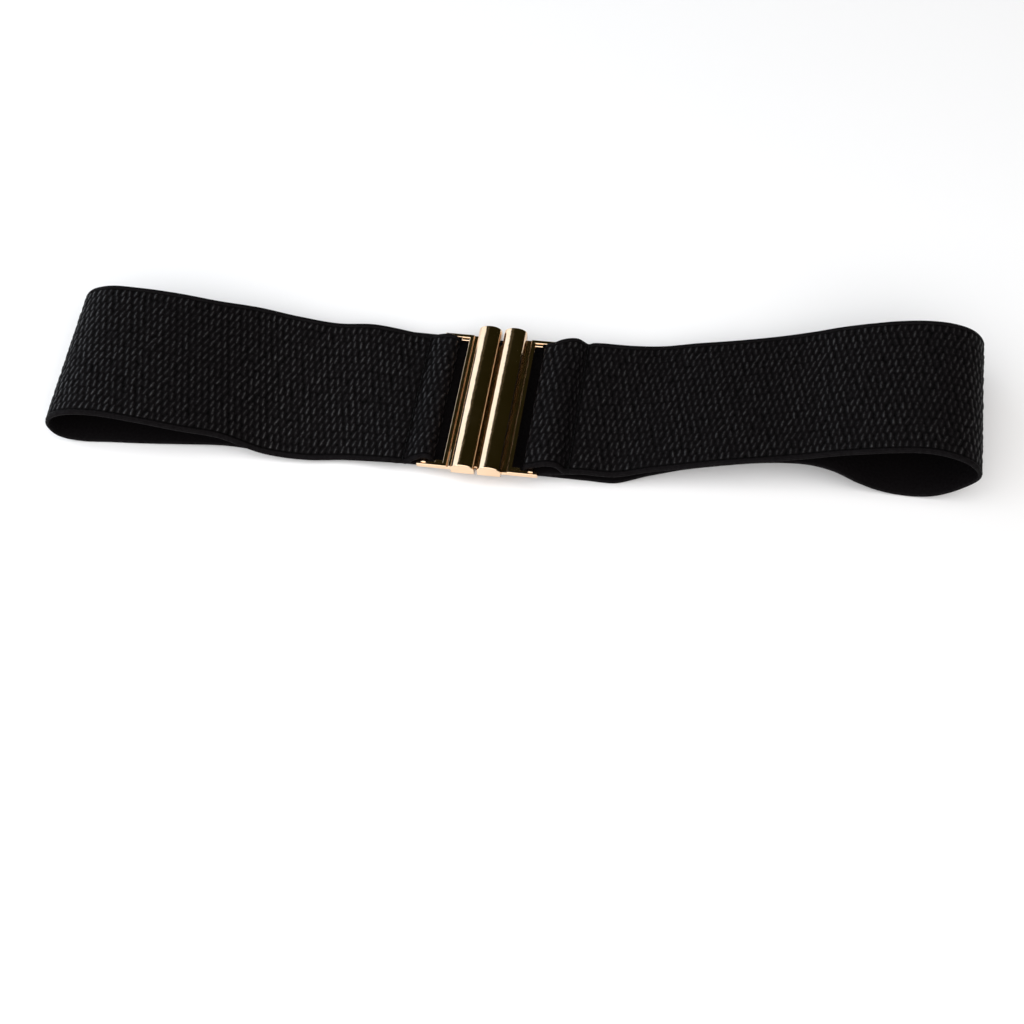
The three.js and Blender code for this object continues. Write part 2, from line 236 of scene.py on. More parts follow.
def fold_rows(side, reach, opening, full_skew, sections, tip):
    """One folded side: out along the upper run, round the tip, back along the lower run."""
    upper, lower = [], []
    for at, lift, room, side_top, side_low, lean_top, lean_low in sections:
        x = side * at * reach
        skew = side * full_skew * max(0, (at - SKEW_START) / (1 - SKEW_START)) ** 2
        low = lower_middle + lift * opening
        high = low + layer_pitch + room * opening
        upper.append((x, high, side_top * BAND_WIDTH, lean_top * BAND_WIDTH, BAND_WIDTH, skew))
        lower.insert(0, (x, low, side_low * BAND_WIDTH, lean_low * BAND_WIDTH, BAND_WIDTH, skew))
    height = lower_middle + tip[0] * opening
    tip_row = (side * reach, height, tip[1] * BAND_WIDTH, 0, BAND_WIDTH, side * full_skew)
    return upper + [tip_row] + lower


def smooth_line(points, knots, steps):
    """A smooth curve through the points, with the given knot distances."""
    p = np.vstack([2 * points[0] - points[1], points, 2 * points[-1] - points[-2]])
    t = np.linspace(0, 1, steps, endpoint=False)[:, None]
    pieces = []
    for i in range(1, len(p) - 2):
        d0, d1, d2 = knots[i - 1 : i + 2]
        m1 = ((p[i] - p[i - 1]) / d0 - (p[i + 1] - p[i - 1]) / (d0 + d1) + (p[i + 1] - p[i]) / d1) * d1
        m2 = ((p[i + 1] - p[i]) / d1 - (p[i + 2] - p[i]) / (d1 + d2) + (p[i + 2] - p[i + 1]) / d2) * d1
        c2 = -3 * p[i] + 3 * p[i + 1] - 2 * m1 - m2
        c3 = 2 * p[i] - 2 * p[i + 1] + m1 + m2
        pieces.append(p[i] + m1 * t + c2 * t**2 + c3 * t**3)
    return np.vstack(pieces + [p[-2][None]])


# %% Join the parts of the route
def band_route(steps=60):
    """The whole middle line, finely divided."""
    left_end, right_end = end_of(-1, LEFT_STITCH), end_of(1, RIGHT_STITCH)
    left = fold_rows(-1, LEFT_REACH, LEFT_OPENING, LEFT_SKEW, LEFT_SECTIONS, LEFT_TIP)
    right = fold_rows(1, RIGHT_REACH, RIGHT_OPENING, RIGHT_SKEW, RIGHT_SECTIONS, RIGHT_TIP)
    flat = []
    for share in FLAT_SHARES:
        x = left[-1][0] + (right[-1][0] - left[-1][0]) * share
        drift = left[-1][2] + (right[-1][2] - left[-1][2]) * share
        flat.append((x, lower_middle, drift, 0, BAND_WIDTH, 0))
    left_wrap = wrap_rows(left_end, left[0][2])
    right_wrap = wrap_rows(right_end, right[0][2])[::-1]
    controls = [left_wrap[-1]]
    controls += sewn_rows(left_end, LEFT_SLOPE, left[0][2]) + left + flat + right[::-1]
    controls += sewn_rows(right_end, RIGHT_SLOPE, right[0][2])[::-1] + [right_wrap[0]]
    controls = np.array(controls, float)
    line = controls[:, :2]
    chords = np.linalg.norm(np.diff(line, axis=0), axis=1)
    knots = np.sqrt(np.concatenate([chords[:1], chords, chords[-1:]]))
    path = smooth_line(line, knots, steps)
    rest = smooth_line(controls[:, 2:], np.ones(len(knots)), steps)
    middle = np.hstack([path, rest])
    middle[:, 1] = np.maximum(middle[:, 1], lower_middle + np.abs(middle[:, 3]))
    return np.vstack([left_wrap[:-1], middle, right_wrap[1:]])


# %% Even the route out
ROUTE_STEP = 0.1
SOFTEN = 0.7
rough = band_route()
steps_long = np.linalg.norm(np.diff(rough[:, :2], axis=0), axis=1)
lengths = np.concatenate([[0], np.cumsum(steps_long)])
distance = np.arange(0, lengths[-1], ROUTE_STEP)
route = np.stack([np.interp(distance, lengths, column) for column in rough.T], axis=1)
margin = int(3 * SOFTEN / ROUTE_STEP)
kernel = np.exp(-0.5 * (np.arange(-margin, margin + 1) * ROUTE_STEP / SOFTEN) ** 2)
kernel /= kernel.sum()
before, after = 2 * route[0] - route[margin:0:-1], 2 * route[-1] - route[-2 : -margin - 2 : -1]
padded = np.vstack([before, route, after])
route = np.stack([np.convolve(column, kernel, "valid") for column in padded.T], axis=1)
heading = np.gradient(route[:, :2], axis=0)
heading /= np.linalg.norm(heading, axis=1)[:, None]
print("route", round(distance[-1], 1), "mm long")

# %% Where the buckle's centre lies in the CAD frame
low_corner, high_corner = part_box("buckle_right_half")
frame_end = RAIL_REACH * math.cos(BUCKLE_TILT) + FRAME_THICKNESS / 2 * math.sin(BUCKLE_TILT)
shift = np.array([high_corner[0] / MM - frame_end, (low_corner[1] + high_corner[1]) / 2 / MM])
print("buckle at", shift.round(2))

# %% [markdown]
# ## The weave
# The outer face has slanted oval grains in 17 rows. Each row is set about a third of a grain along from
# the next. Both long edges have a smooth selvedge of two narrow ribs, and the inner face is plain. The
# grains could be a bump in the material, but real relief also shows at the folds and from the side. Each
# grain is a low, wide body with a narrow crest on it, and its size, place and slant stray a little, as
# yarn does.

# %% Grain
ROWS = 17
ROW_PITCH = 3.3
GRAIN_PITCH = 2.4
ROW_SHIFT = 0.35
GRAIN_SLANT = math.radians(9)
GRAIN_HALF_LENGTH = 2
GRAIN_HALF_WIDTH = 1.15
CREST_HALF_LENGTH = 2.15
CREST_HALF_WIDTH = 0.42
BODY_HEIGHT = 0.5
GRAIN_DEPTH = 0.6
SELVEDGE = (BAND_WIDTH - ROWS * ROW_PITCH) / 2
SMALLEST_CREST = 0.65
GRAIN_STRAY = 0.14
SLANT_STRAY = 0.13
GRAIN_COUNT = 1009
sizes = rng.uniform(SMALLEST_CREST, 1, (ROWS + 2, GRAIN_COUNT))
strays = GRAIN_STRAY * rng.standard_normal((ROWS + 2, GRAIN_COUNT, 2))
slants = GRAIN_SLANT + SLANT_STRAY * rng.standard_normal((ROWS + 2, GRAIN_COUNT))
print("weave of", ROWS, "rows, selvedges", round(SELVEDGE, 2), "mm wide")


def bulge(fall):
    """A round-topped height, from 1 in the middle to 0 where the fall reaches 1."""
    return np.sqrt(np.clip(1 - fall, 0, 1))


def grain(along, across):
    """Height of the weave from 0 to 1. across is measured from the far selvedge."""
    row_here = np.floor(across / ROW_PITCH)
    height = np.zeros_like(along)
    for step in (-1, 0, 1):
        row = row_here + step
        there = (row >= 0) & (row < ROWS)
        middle = (row + 0.5) * ROW_PITCH
        lean = math.tan(GRAIN_SLANT) * (middle - across)
        count = np.round((along - lean) / GRAIN_PITCH - ROW_SHIFT * row)
        i = np.clip(row, 0, ROWS).astype(int)
        k = np.mod(count, GRAIN_COUNT).astype(int)
        dx = along - (count + ROW_SHIFT * row) * GRAIN_PITCH - strays[i, k, 0]
        dy = across - middle - strays[i, k, 1]
        slant = slants[i, k]
        long = dx * np.sin(slant) - dy * np.cos(slant)
        wide = dx * np.cos(slant) + dy * np.sin(slant)
        body_fall = (long / GRAIN_HALF_LENGTH) ** 4 + (wide / GRAIN_HALF_WIDTH) ** 2
        crest_fall = (long / CREST_HALF_LENGTH) ** 2 + (wide / CREST_HALF_WIDTH) ** 2
        highest = np.maximum(BODY_HEIGHT * bulge(body_fall), sizes[i, k] * bulge(crest_fall))
        height = np.maximum(height, np.where(there, highest, 0))
    return height


# %% Points round one section of the band
ROW_STEPS = 7
SELVEDGE_STEPS = 8
EDGE_STEPS = 5
INNER_STEPS = 14
EDGE_ROUND = 0.6
SELVEDGE_DROP = 0.2
RIB_DEPTH = 0.16


def section():
    """Distance from the far edge and height off the middle line, once round, and where the weave is."""
    half = BAND_THICKNESS / 2
    edge = np.linspace(EDGE_ROUND, SELVEDGE, SELVEDGE_STEPS, endpoint=False)
    rib_turn = np.pi * (edge - EDGE_ROUND) / (SELVEDGE - EDGE_ROUND)
    rib = half - SELVEDGE_DROP - RIB_DEPTH * np.abs(np.cos(rib_turn))
    weave = np.linspace(SELVEDGE, BAND_WIDTH - SELVEDGE, ROWS * ROW_STEPS + 1)
    turn = np.linspace(0, np.pi, EDGE_STEPS + 2)[1:-1]
    top = rib[0]
    middle, radius = (top - half) / 2, (top + half) / 2
    round_x, round_z = EDGE_ROUND * np.sin(turn), middle + radius * np.cos(turn)
    inner = np.linspace(BAND_WIDTH - EDGE_ROUND, EDGE_ROUND, INNER_STEPS + 1)
    near_edge, near_round = BAND_WIDTH - edge[::-1], BAND_WIDTH - EDGE_ROUND + round_x
    across = np.concatenate([edge, weave, near_edge, near_round, inner, EDGE_ROUND - round_x])
    flat_top, flat_low = np.full_like(weave, half), np.full_like(inner, -half)
    height = np.concatenate([rib, flat_top, rib[::-1], round_z, flat_low, round_z[::-1]])
    woven = np.zeros_like(across)
    woven[len(edge) : len(edge) + len(weave)] = 1
    return across, height, woven


across, rise, woven = section()
print("section of", len(across), "points")


# %% From the route to places in the row frame
def crossing(x, which):
    """Distance along the route where it passes x for the given time."""
    change = np.nonzero(np.diff(np.sign(route[:, 0] - x)))[0]
    return distance[change[which]]


def surface(along, from_far_edge, off_middle):
    """Points in the row frame, in millimetres, on rings at the given distances along the route."""
    row = [np.interp(along, distance[: len(route)], column)[:, None] for column in route.T]
    run_x, run_z = (np.interp(along, distance[: len(route)], column)[:, None] for column in heading.T)
    x, height, drift, lean, width, skew = row
    share = 1 - 2 * from_far_edge / BAND_WIDTH
    return np.stack(
        [
            x + run_z * off_middle + share * skew + shift[0],
            drift + share * width / 2 + shift[1] + 0 * off_middle,
            height - run_x * off_middle + share * lean,
        ],
        axis=2,
    )


sewn = [crossing(-LEFT_STITCH, 1), crossing(RIGHT_STITCH, 1)]
print("sewn lines at", [round(float(s), 1) for s in sewn], "mm along the route")

# %% [markdown]
# ## One stretch of the band
# The elastic is one strip, but it is drawn as three closed tubes that meet end to end, so that each has a
# flat size of its own. A tube could be swept by a curve with a bevel, but a curve can't carry the weave.
# So a flat grid is made, each of its points is moved to its place round the section, and the two long
# sides are joined.

# %% Rings of points with the weave
FADE_WIDTH = 0.35
PLAIN_SHADE = 0.45
PRESS_SHARE = 0.6
PRESS_WIDTH = 0.9


def woven_rings(start, stop, count):
    """Points on rings between two distances, with the weave's height and the place on the cloth."""
    rings = np.linspace(start, stop, count)
    along = np.repeat(-rings[:, None], len(across), axis=1)
    place = np.repeat(across[None], len(rings), axis=0)
    inside = np.minimum(place - SELVEDGE, BAND_WIDTH - SELVEDGE - place)
    fade = np.clip(inside / FADE_WIDTH, 0, 1)
    # The relief sets both the grains' height and the material's painted shade: where it is low, in the
    # hollows, at the weave's edges and in the pressed groove by each sewn line, the cloth is painted
    # darker.
    relief = np.where(woven > 0, grain(along, place - SELVEDGE) * fade, PLAIN_SHADE)
    pressed = 1 - PRESS_SHARE * sum(np.exp(-(((rings - s) / PRESS_WIDTH) ** 2)) for s in sewn)
    relief = relief * pressed[:, None]
    offset = rise[None] + np.where(woven > 0, GRAIN_DEPTH * (relief - 1), 0)
    cloth = np.stack([along, place, 0 * place], axis=2)
    return surface(rings, place, offset) * MM, relief, cloth * MM


# %% A closed tube through the rings
def keep_values(mesh, name, kind, field, values):
    """Keep a value at each point of the mesh, for the material to read."""
    made = mesh.attributes.new(name, kind, "POINT")
    made.data.foreach_set(field, values.astype(np.float32).ravel())


SEAM_REACH = 1e-7


def close_tube(mesh, on_seam):
    """Join the tube's long sides, and close both its ends with a crisp rim."""
    bm = bmesh.new()
    bm.from_mesh(mesh)
    seam = [v for v, joined in zip(bm.verts, on_seam) if joined]
    bmesh.ops.remove_doubles(bm, verts=seam, dist=SEAM_REACH)
    rim = [e for e in bm.edges if e.is_boundary]
    bmesh.ops.holes_fill(bm, edges=rim, sides=0)
    for edge in rim:
        edge.smooth = False
    bmesh.ops.recalc_face_normals(bm, faces=bm.faces)
    bm.to_mesh(mesh)
    bm.free()


def tube(name, points, relief, cloth):
    """A closed mesh through rings of points."""
    count_along, count_round = points.shape[:2]
    bm = bmesh.new()
    bm.loops.layers.uv.new("OFBake")
    bmesh.ops.create_grid(
        bm, x_segments=count_along - 1, y_segments=count_round, size=0.5, calc_uvs=True
    )
    mesh = bpy.data.meshes.new(name)
    bm.to_mesh(mesh)
    bm.free()
    grid = np.empty(len(mesh.vertices) * 3, np.float32)
    mesh.vertices.foreach_get("co", grid)
    grid = grid.reshape(-1, 3)
    i = np.round((grid[:, 0] + 0.5) * (count_along - 1)).astype(int)
    turn = np.round((grid[:, 1] + 0.5) * count_round).astype(int)
    j = turn % count_round
    mesh.vertices.foreach_set("co", points[i, j].astype(np.float32).ravel())
    keep_values(mesh, "relief", "FLOAT", "value", relief[i, j])
    keep_values(mesh, "cloth", "FLOAT_VECTOR", "vector", cloth[i, j])
    close_tube(mesh, (turn == 0) | (turn == count_round))
    return mesh


def smooth_piece(name, mesh):
    """A smoothly shaded object with the mesh, put into the scene."""
    mesh.shade_smooth()
    piece = bpy.data.objects.new(name, mesh)
    bpy.context.collection.objects.link(piece)
    return piece


def band_piece(name, start, stop, count):
    """A closed stretch of woven band between two distances along the route, in the given rings."""
    piece = smooth_piece(name, tube(name, *woven_rings(start, stop, count)))
    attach(piece, "root")
    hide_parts("elastic_band")
    print(name, len(piece.data.polygons), "faces,", round(stop - start, 1), "mm long")
    return piece


# %% The three stretches of the band
PAST_TIP = 9
left_turn = distance[np.argmin(route[:, 0])] + PAST_TIP
right_turn = distance[np.argmax(route[:, 0])] - PAST_TIP
end = distance[-1]
FOLD_RINGS = 600
FLAT_RINGS = 450
left_band = band_piece("band_left_fold", 0, left_turn, FOLD_RINGS)
lower_band = band_piece("band_lower_run", left_turn, right_turn, FLAT_RINGS)
right_band = band_piece("band_right_fold", right_turn, end, FOLD_RINGS)

# %% [markdown]
# ## The buckle
# Each half is one zinc casting: a round-topped bar, a plate with a raised rim, a rail along each side
# with a small step inside it, and a cross bar that carries the band. It could be cut from one block, but
# here each shape is drawn by itself, because cast metal shows its softened edges as thin bright lines,
# and so each shape needs its own. A half is drawn on the +X side and mirrored for the left. The left half
# also has a small lug beside its bar, and a flat tongue that hooks under the right half.

# %% Ways to work the metal
SHARP_DEGREES = 40
FACING = 0.9


def sharp_edges(faces):
    """Edges of the faces that turn sharply."""
    edges = {e for f in faces for e in f.edges}
    limit = math.radians(SHARP_DEGREES)
    return [e for e in edges if len(e.link_faces) == 2 and e.calc_face_angle(0) > limit]


def end_edges(part):
    """The sharp edges of the faces that look along Y."""
    return sharp_edges([f for f in part.faces if abs(f.normal.y) > FACING])


def soften(part, edges, soft, segments=4):
    """Round the edges by the given width."""
    bmesh.ops.bevel(
        part, geom=edges, offset=soft, segments=segments, affect="EDGES", profile=0.5, material=-1
    )


def cut(part, place, across, **options):
    """Cut the part's faces along a plane that is square to the given direction."""
    everything = part.verts[:] + part.edges[:] + part.faces[:]
    bmesh.ops.bisect_plane(part, geom=everything, plane_co=place, plane_no=across, **options)


def join_flat(part, least=1):
    """Join faces that lie flat against each other, within the given degrees."""
    part.normal_update()
    bmesh.ops.dissolve_limit(
        part, angle_limit=math.radians(least), verts=part.verts, edges=part.edges
    )


def add(bm, part):
    """Copy a part into the casting."""
    mesh = bpy.data.meshes.new("part")
    part.to_mesh(mesh)
    part.free()
    bm.from_mesh(mesh)
    bpy.data.meshes.remove(mesh)


# %% Box and cross bar
BLOCK_SEGMENTS = 3
ROD_SIDES = 32
ROD_SOFT = 0.3


def block(bm, low, high, soft):
    """A box between two corners with softened edges."""
    low, high = Vector(low), Vector(high)
    part = bmesh.new()
    bmesh.ops.create_cube(part, size=1)
    bmesh.ops.scale(part, vec=high - low, verts=part.verts)
    bmesh.ops.translate(part, vec=(low + high) / 2, verts=part.verts)
    soften(part, part.edges, soft, BLOCK_SEGMENTS)
    add(bm, part)


def cross_bar(bm):
    """The round bar that the band goes round."""
    part = bmesh.new()
    radius = CROSS_BAR_DIAMETER / 2
    turn = Matrix.Translation((CROSS_BAR_OFFSET, 0, 0)) @ Matrix.Rotation(math.pi / 2, 4, "X")
    bmesh.ops.create_cone(
        part,
        cap_ends=True,
        segments=ROD_SIDES,
        radius1=radius,
        radius2=radius,
        depth=2 * OPENING_HALF + RAIL_WIDTH,
        matrix=turn,
    )
    soften(part, end_edges(part), ROD_SOFT)
    add(bm, part)


# %% Round-topped bar
BAR_SIDES = 160
BAR_SOFT = 0.35
BAR_FLAT = 0.2


def rounded_bar(bm):
    """The bar, with a round top on straight flanks, as one closed form."""
    part = bmesh.new()
    spring = FRAME_THICKNESS / 2 + BAR_FLANK
    turn = Matrix.Rotation(math.pi / 2, 4, "X")
    bmesh.ops.create_cone(
        part, cap_ends=True, segments=BAR_SIDES, radius1=1, radius2=1, depth=BAR_LENGTH, matrix=turn
    )
    bmesh.ops.scale(part, vec=(BAR_WIDTH / 2, 1, BAR_HEIGHT - BAR_FLANK), verts=part.verts)
    cut(part, (0, 0, 0), (0, 0, 1), clear_inner=True)
    open_edges = [e for e in part.edges if e.is_boundary]
    bottom = bmesh.ops.extrude_edge_only(part, edges=open_edges)["geom"]
    lowered = [v for v in bottom if isinstance(v, bmesh.types.BMVert)]
    bmesh.ops.translate(part, vec=(0, 0, -spring), verts=lowered)
    bmesh.ops.holes_fill(part, edges=[e for e in part.edges if e.is_boundary], sides=0)
    bmesh.ops.translate(part, vec=(HALF_GAP + BAR_WIDTH / 2, 0, spring), verts=part.verts)
    join_flat(part, BAR_FLAT)
    soften(part, end_edges(part), BAR_SOFT)
    add(bm, part)


# %% Plate, rim and rails
PLATE_SOFT = 0.28
HAIR = 0.01


def raise_rim(part):
    """Lift the strip beside the band above the sunk plate."""
    rim_start = PLATE_EDGE - RIM_WIDTH
    cut(part, (0, -OPENING_HALF, 0), (0, 1, 0))
    cut(part, (0, OPENING_HALF, 0), (0, 1, 0))
    cut(part, (rim_start, 0, 0), (1, 0, 0))
    part.normal_update()
    top = [f for f in part.faces if f.normal.z > FACING and f.calc_center_median().x > rim_start]
    raised = bmesh.ops.extrude_face_region(part, geom=top)["geom"]
    lifted = [v for v in raised if isinstance(v, bmesh.types.BMVert)]
    bmesh.ops.translate(part, vec=(0, 0, CHANNEL_DEPTH), verts=lifted)
    bmesh.ops.delete(part, geom=top, context="FACES")
    join_flat(part)


def draw_rails(part):
    """Draw the two ends of the plate's edge outwards, as a rail along each side of the opening."""
    cut(part, (0, -OPENING_HALF, 0), (0, 1, 0))
    cut(part, (0, OPENING_HALF, 0), (0, 1, 0))
    part.normal_update()
    outer = [f for f in part.faces if f.normal.x > FACING]
    ends = [f for f in outer if abs(f.calc_center_median().y) > OPENING_HALF]
    ends = [f for f in ends if f.calc_center_median().x > PLATE_EDGE - HAIR]
    made = bmesh.ops.extrude_discrete_faces(part, faces=ends)
    tips = {v for f in made["faces"] for v in f.verts}
    bmesh.ops.translate(part, vec=(RAIL_REACH - PLATE_EDGE, 0, 0), verts=list(tips))
    join_flat(part)


def plate_and_rails(bm):
    """The sheet under the bar, with its raised rim and its two rails."""
    part = bmesh.new()
    size = (PLATE_EDGE - HALF_GAP, 2 * FRAME_HALF, FRAME_THICKNESS - CHANNEL_DEPTH)
    bmesh.ops.create_cube(part, size=1)
    bmesh.ops.scale(part, vec=size, verts=part.verts)
    middle = ((PLATE_EDGE + HALF_GAP) / 2, 0, -CHANNEL_DEPTH / 2)
    bmesh.ops.translate(part, vec=middle, verts=part.verts)
    raise_rim(part)
    draw_rails(part)
    soften(part, sharp_edges(part.faces), PLATE_SOFT)
    add(bm, part)


# %% The small step inside each rail
LEDGE_SOFT = 0.38
LEDGE_SUNK = 0.3
LEDGE_FOOT = 0.05


def ledges(bm):
    """The step along each rail, between the rim and the band."""
    stop = CROSS_BAR_OFFSET - wrap_radius - BAND_THICKNESS / 2 - LAYER_GAP
    low, high = LEDGE_FOOT - FRAME_THICKNESS / 2, FRAME_THICKNESS / 2 - LEDGE_DEPTH
    for far in (1, -1):
        sides = sorted((far * (OPENING_HALF - LEDGE_WIDTH), far * (OPENING_HALF + LEDGE_SUNK)))
        block(bm, (PLATE_EDGE - LEDGE_SUNK, sides[0], low), (stop, sides[1], high), LEDGE_SOFT)


# %% A whole casting
def casting(name, side, extras=None):
    """One half of the buckle as a finished piece."""
    bm = bmesh.new()
    rounded_bar(bm)
    plate_and_rails(bm)
    ledges(bm)
    cross_bar(bm)
    if extras:
        extras(bm)
    place = Matrix.Scale(MM, 4) @ Matrix.Translation((shift[0], shift[1], buckle_height))
    place = place @ Matrix.Rotation(-BUCKLE_TILT, 4, "Y") @ Matrix.Diagonal((side, 1, 1, 1))
    bm.transform(place)
    bmesh.ops.recalc_face_normals(bm, faces=bm.faces)
    mesh = bpy.data.meshes.new(name)
    bm.to_mesh(mesh)
    bm.free()
    piece = smooth_piece(name, mesh)
    normals = piece.modifiers.new("even shading", "WEIGHTED_NORMAL")
    normals.keep_sharp = True
    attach(piece, "root")
    print(name, len(mesh.polygons), "faces")
    return piece


# %% Left half with its lug and tongue, and the right half
LUG_SUNK = 0.3
LUG_SOFT = 0.15
TONGUE_SOFT = 0.2
bar_side = HALF_GAP + BAR_WIDTH
tongue_top = -FRAME_THICKNESS / 2 - TONGUE_CLEARANCE
tongue_low = tongue_top - TONGUE_THICKNESS


def left_extras(bm):
    """The lug beside the bar, and the hook tongue under the plate."""
    lug_low = (bar_side - LUG_SUNK, -FRAME_HALF, 0)
    lug_size = (LUG_WIDTH, LUG_LENGTH, FRAME_THICKNESS / 2 + LUG_HEIGHT)
    block(bm, lug_low, Vector(lug_low) + Vector(lug_size), LUG_SOFT)
    y = TONGUE_WIDTH / 2
    lip_start = -LIP_OFFSET - LIP_THICKNESS
    block(bm, (HALF_GAP, -y, tongue_low), (bar_side, y, 0), TONGUE_SOFT)
    block(bm, (lip_start, -y, tongue_low), (bar_side, y, tongue_top), TONGUE_SOFT)
    block(bm, (lip_start, -y, tongue_low), (-LIP_OFFSET, y, tongue_top + LIP_HEIGHT), TONGUE_SOFT)


left_half = casting("buckle_left_casting", -1, left_extras)
right_half = casting("buckle_right_casting", 1)
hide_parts("buckle_left_half")
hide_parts("buckle_right_half")

# %% [markdown]
# ## The sewn lines
# A row of short stitches holds each turned-back end. They lie in the shallow groove across the upper run.
# A line of bumps in the material could stand for them, but a small egg of thread for each stitch takes
# the light as thread does.

# %% Stitches
STITCH_COUNT = 22
STITCH_THREAD = 0.42
STITCH_SHARE = 0.8
STITCH_SUNK = 0.12
STITCH_SLANT = math.radians(4)


def sewing(name, along):
    """A row of stitches across the band at one distance along the route."""
    bm = bmesh.new()
    places = np.linspace(SELVEDGE, BAND_WIDTH - SELVEDGE, STITCH_COUNT)
    length = (places[1] - places[0]) * STITCH_SHARE
    heights = np.full((1, STITCH_COUNT), BAND_THICKNESS / 2 - STITCH_SUNK)
    for point in surface(np.array([along]), places[None], heights)[0]:
        turn = Matrix.Translation(Vector(point) * MM) @ Matrix.Rotation(STITCH_SLANT, 4, "Z")
        shape = Matrix.Diagonal((STITCH_THREAD * MM, length * MM, STITCH_THREAD * MM, 1))
        bmesh.ops.create_uvsphere(bm, u_segments=10, v_segments=8, radius=0.5, matrix=turn @ shape)
    mesh = bpy.data.meshes.new(name)
    bm.to_mesh(mesh)
    bm.free()
    piece = smooth_piece(name, mesh)
    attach(piece, "root")
    print(name, STITCH_COUNT, "stitches")
    return piece


left_sewing = sewing("stitching_left", sewn[0])
right_sewing = sewing("stitching_right", sewn[1])

# %% [markdown]
# ## The elastic and the thread
# The elastic is matt black yarn: its grain tops are a little smoother than the hollows between them, and
# a fine rope-like twist runs along each grain. The hollows are painted darker as shade and the grain tops
# lighter as painted light. A picture of cloth could be laid on it, but noise and waves that follow the
# cloth need no picture and stay fine at any distance. The height of the weave, kept at each point, tells
# the material where the tops are.

# %% Ways to make a material
def new_material(name):
    """A material with its Principled shader and a function that adds linked nodes."""
    material = bpy.data.materials.new(name)
    material.use_nodes = True
    tree = material.node_tree
    shader = tree.nodes["Principled BSDF"]

    def node(kind, links=(), **settings):
        made = tree.nodes.new(kind)
        for key, value in settings.items():
            if key in made.inputs:
                made.inputs[key].default_value = value
            else:
                setattr(made, key, value)
        for source, socket in links:
            tree.links.new(source, made.inputs[socket])
        return made

    return material, shader, node, tree.links.new


def ramp(node, source, stops):
    """A colour ramp through the given places and colours."""
    made = node("ShaderNodeValToRGB", [(source, "Fac")])
    elements = made.color_ramp.elements
    while len(elements) < len(stops):
        elements.new(0.5)
    for element, (at, colour) in zip(elements, stops):
        element.position = at
        element.color = (*colour, 1)
    return made


# %% Elastic
HOLLOW_PAINTED_SHADE = (0.001, 0.001, 0.001)
BODY_BLACK = (0.0047, 0.0039, 0.0043)
CREST_PAINTED_LIGHT = (0.0078, 0.0067, 0.0072)
TWIST_TURN = math.radians(12)


def elastic_material():
    """Black woven yarn, with dull hollows painted darker as shade and faintly shining tops painted
    lighter.
    """
    material, shader, node, link = new_material("black_elastic")
    relief = node("ShaderNodeAttribute", attribute_name="relief")
    cloth = node("ShaderNodeAttribute", attribute_name="cloth")
    place, height = (cloth.outputs["Vector"], "Vector"), (relief.outputs["Fac"], "Value")
    # Painted shade and light: the hollows are painted near black, the grain tops lighter than the body.
    stops = [(0, HOLLOW_PAINTED_SHADE), (0.5, BODY_BLACK), (1, CREST_PAINTED_LIGHT)]
    colour = ramp(node, relief.outputs["Fac"], stops)
    link(colour.outputs["Color"], shader.inputs["Base Color"])
    rough = node("ShaderNodeMapRange", [height], **{"To Min": 0.7, "To Max": 0.4})
    link(rough.outputs["Result"], shader.inputs["Roughness"])

    tops = {"From Min": 0.45, "From Max": 0.95, "To Min": 0.03, "To Max": 0.65}
    shine = node("ShaderNodeMapRange", [height], **tops)
    glints = node("ShaderNodeTexNoise", [place], Scale=900, Detail=2)
    spread = {"From Min": 0.35, "From Max": 0.65, "To Min": 0.35, "To Max": 1.6}
    uneven = node("ShaderNodeMapRange", [(glints.outputs["Fac"], "Value")], **spread)
    pair = [(shine.outputs["Result"], 0), (uneven.outputs["Result"], 1)]
    gloss = node("ShaderNodeMath", pair, operation="MULTIPLY")
    link(gloss.outputs["Value"], shader.inputs["Specular IOR Level"])

    turned = node("ShaderNodeMapping", [place], Rotation=(0, 0, GRAIN_SLANT + TWIST_TURN))
    twist = node(
        "ShaderNodeTexWave",
        [(turned.outputs["Vector"], "Vector")],
        bands_direction="X",
        Scale=700,
        Distortion=1.5,
        Detail=1,
    )
    fuzz = node("ShaderNodeTexNoise", [place], Scale=2500, Detail=3)
    pair = [(twist.outputs["Fac"], 0), (fuzz.outputs["Fac"], 1)]
    both = node("ShaderNodeMath", pair, operation="ADD")
    bump = node("ShaderNodeBump", [(both.outputs["Value"], "Height")], Strength=0.35, Distance=0.00012)
    link(bump.outputs["Normal"], shader.inputs["Normal"])
    return material


# %% Thread
THREAD_GROOVE_SHADE = (0.001, 0.001, 0.0012)
THREAD_STRAND_LIGHT = (0.003, 0.003, 0.0034)
THREAD_TURN = math.radians(35)


def thread_material():
    """Black twisted sewing thread."""
    material, shader, node, link = new_material("black_thread")
    place = node("ShaderNodeTexCoord")
    turned = node(
        "ShaderNodeMapping", [(place.outputs["Object"], "Vector")], Rotation=(0, 0, THREAD_TURN)
    )
    twist = node("ShaderNodeTexWave", [(turned.outputs["Vector"], "Vector")], Scale=900, Distortion=0.5)
    # Painted shade and light: the twist's grooves, where the bump is low, are painted darker and its
    # strands lighter.
    colour = ramp(node, twist.outputs["Fac"], [(0, THREAD_GROOVE_SHADE), (1, THREAD_STRAND_LIGHT)])
    link(colour.outputs["Color"], shader.inputs["Base Color"])
    bump = node("ShaderNodeBump", [(twist.outputs["Fac"], "Height")], Strength=0.5, Distance=0.00008)
    link(bump.outputs["Normal"], shader.inputs["Normal"])
    shader.inputs["Roughness"].default_value = 0.7
    shader.inputs["Specular IOR Level"].default_value = 0.15
    return material


